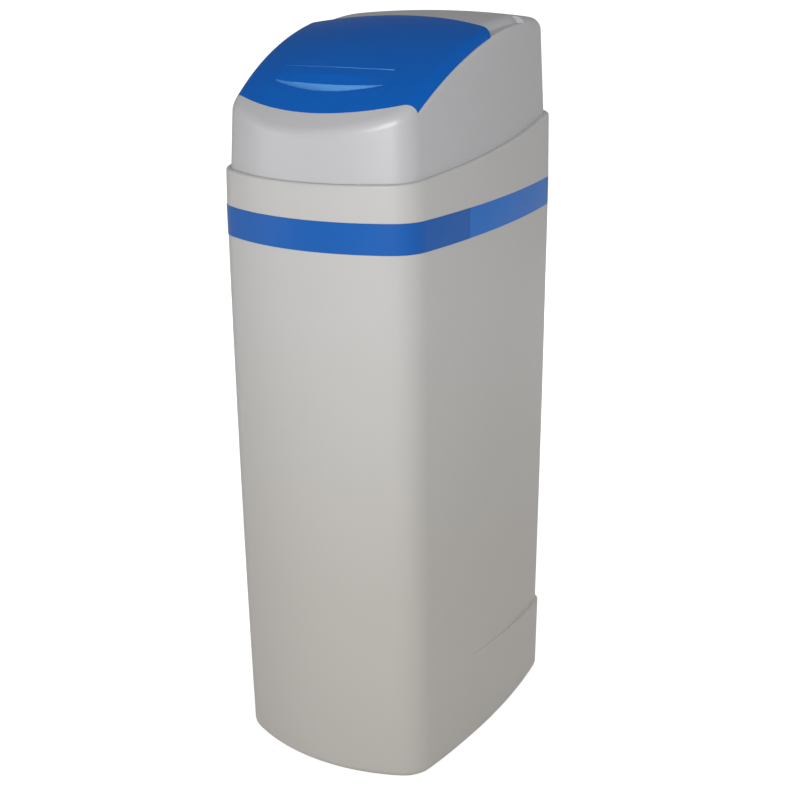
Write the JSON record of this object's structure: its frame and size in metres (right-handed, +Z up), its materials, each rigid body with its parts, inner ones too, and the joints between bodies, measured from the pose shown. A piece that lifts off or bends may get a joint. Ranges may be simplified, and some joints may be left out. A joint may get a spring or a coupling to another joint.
{
  "type": "water softener",
  "caption": "Cabinet water softener: bowed salt cabinet, resin vessel with geared control valve, brine well and bypass under a lift-off hood with a sliding salt lid.",
  "frame": {"origin": "centre of the cabinet's base, on the floor", "axes": "+X to the right of someone who faces the front, front towards -Y, +Z up"},
  "size_m": [0.3531, 0.5156, 1.105],
  "materials": {
    "cabinet_shell": "fine grained light grey polyethylene",
    "hood_shell": "satin light grey ABS",
    "blue_lid": "glossy blue ABS",
    "blue_trim": "satin blue vinyl",
    "vessel": "wound glass fibre",
    "vessel_foot": "black rubbery base",
    "resin": "amber resin beads",
    "pvc_pipe": "white pipe",
    "strainer": "natural plastic",
    "valve_plastic": "glass filled black plastic",
    "spacer_plastic": "grey plastic with seals",
    "piston": "polished black plastic",
    "bracket": "grey plastic",
    "screw": "stainless steel",
    "motor": "zinc plated steel",
    "gear": "natural acetal",
    "cover": "textured black plastic",
    "display": "clear window",
    "board": "green circuit board",
    "button": "grey silicone",
    "fitting": "black fitting",
    "handle": "red handle",
    "meter": "white plastic",
    "hose": "milky tube",
    "well": "white tube",
    "float": "foam",
    "ball": "hard plastic"
  },
  "bodies": {
    "cabinet": {"cabinet_body": "cabinet_shell", "stripe_front": "blue_trim", "stripe_rear": "blue_trim", "overflow_elbow": "fitting", "overflow_nut": "fitting", "pressure_vessel": "vessel", "vessel_foot": "vessel_foot", "resin_bed": "resin", "riser_tube": "pvc_pipe", "bottom_strainer": "strainer", "top_strainer": "strainer", "valve_body": "valve_plastic", "piston_spacers": "spacer_plastic", "bore_cap": "spacer_plastic", "drive_bracket": "bracket", "bracket_screws": "screw", "drive_motor": "motor", "valve_cover": "cover", "display_window": "display", "circuit_board": "board", "power_inlet": "fitting", "bypass_body": "valve_plastic", "union_nuts": "fitting", "meter_cage": "meter", "drain_elbow": "fitting", "brine_elbow": "fitting", "injector_cap": "fitting", "brine_line": "hose", "brine_well": "well", "float_valve": "meter"},
    "hood": {"hood": "hood_shell"},
    "salt_lid": {"salt_lid": "blue_lid"},
    "well_cap": {"well_cap": "well"},
    "brine_float": {"brine_float": "float"},
    "check_ball": {"check_ball": "ball"},
    "main_gear": {"main_gear": "gear"},
    "reduction_gear": {"reduction_gear": "gear"},
    "motor_pinion": {"motor_pinion": "gear"},
    "valve_piston": {"valve_piston": "piston"},
    "meter_turbine": {"meter_turbine": "meter"},
    "inlet_rotor": {"inlet_rotor": "handle"},
    "outlet_rotor": {"outlet_rotor": "handle"},
    "menu_button": {"menu_button": "button"},
    "down_button": {"down_button": "button"},
    "regenerate_button": {"regenerate_button": "button"},
    "up_button": {"up_button": "button"},
    "set_button": {"set_button": "button"}
  },
  "joints": [
    {"name": "hood_lift", "type": "slide", "parent": "cabinet", "child": "hood", "axis": [0, 0, 1], "range_m": [0, 0.25]},
    {"name": "lid_slide", "type": "hinge", "parent": "hood", "child": "salt_lid", "pos_m": [0, 0.1282, 0.5803], "axis": [-1, 0, 0], "range_deg": [0, 12.5]},
    {"name": "well_cap_lift", "type": "slide", "parent": "cabinet", "child": "well_cap", "axis": [0, 0, 1], "range_m": [0, 0.1]},
    {"name": "float_rise", "type": "slide", "parent": "cabinet", "child": "brine_float", "axis": [0, 0, 1], "range_m": [0, 0.24]},
    {"name": "ball_rise", "type": "slide", "parent": "cabinet", "child": "check_ball", "axis": [0, 0, 1], "range_m": [0, 0.03]},
    {"name": "main_gear_turn", "type": "hinge", "parent": "cabinet", "child": "main_gear", "pos_m": [0, 0.026, 0.965], "axis": [0, 1, 0], "range_deg": [0, 720]},
    {"name": "reduction_gear_turn", "type": "hinge", "parent": "cabinet", "child": "reduction_gear", "pos_m": [-0.03377, 0.016, 0.9845], "axis": [0, 1, 0], "range_deg": [-2400, 0]},
    {"name": "motor_pinion_turn", "type": "hinge", "parent": "cabinet", "child": "motor_pinion", "pos_m": [-0.04952, 0.016, 1.01178], "axis": [0, 1, 0], "range_deg": [0, 6000]},
    {"name": "piston_travel", "type": "slide", "parent": "cabinet", "child": "valve_piston", "axis": [0, 1, 0], "range_m": [0, 0.025]},
    {"name": "turbine_spin", "type": "hinge", "parent": "cabinet", "child": "meter_turbine", "pos_m": [0.044, 0.146, 0.955], "axis": [0, 1, 0], "continuous": true},
    {"name": "inlet_bypass_turn", "type": "hinge", "parent": "cabinet", "child": "inlet_rotor", "pos_m": [-0.044, 0.2, 0.96], "axis": [0, 0, 1], "range_deg": [0, 90]},
    {"name": "outlet_bypass_turn", "type": "hinge", "parent": "cabinet", "child": "outlet_rotor", "pos_m": [0.044, 0.2, 0.96], "axis": [0, 0, 1], "range_deg": [0, 90]},
    {"name": "menu_press", "type": "slide", "parent": "cabinet", "child": "menu_button", "axis": [0, 0.9567, -0.2912], "range_m": [0, 0.0008], "stiffness_N_per_m": 500},
    {"name": "down_press", "type": "slide", "parent": "cabinet", "child": "down_button", "axis": [0, 0.9567, -0.2912], "range_m": [0, 0.0008], "stiffness_N_per_m": 500},
    {"name": "regenerate_press", "type": "slide", "parent": "cabinet", "child": "regenerate_button", "axis": [0, 0.9567, -0.2912], "range_m": [0, 0.0008], "stiffness_N_per_m": 500},
    {"name": "up_press", "type": "slide", "parent": "cabinet", "child": "up_button", "axis": [0, 0.9567, -0.2912], "range_m": [0, 0.0008], "stiffness_N_per_m": 500},
    {"name": "set_press", "type": "slide", "parent": "cabinet", "child": "set_button", "axis": [0, 0.9567, -0.2912], "range_m": [0, 0.0008], "stiffness_N_per_m": 500}
  ],
  "couplings": [
    {"joint": "reduction_gear_turn", "follows": "main_gear_turn", "ratio": -3.3333},
    {"joint": "motor_pinion_turn", "follows": "main_gear_turn", "ratio": 8.3333},
    {"joint": "piston_travel", "follows": "main_gear_turn", "m_per_rad": 0.001989}
  ]
}
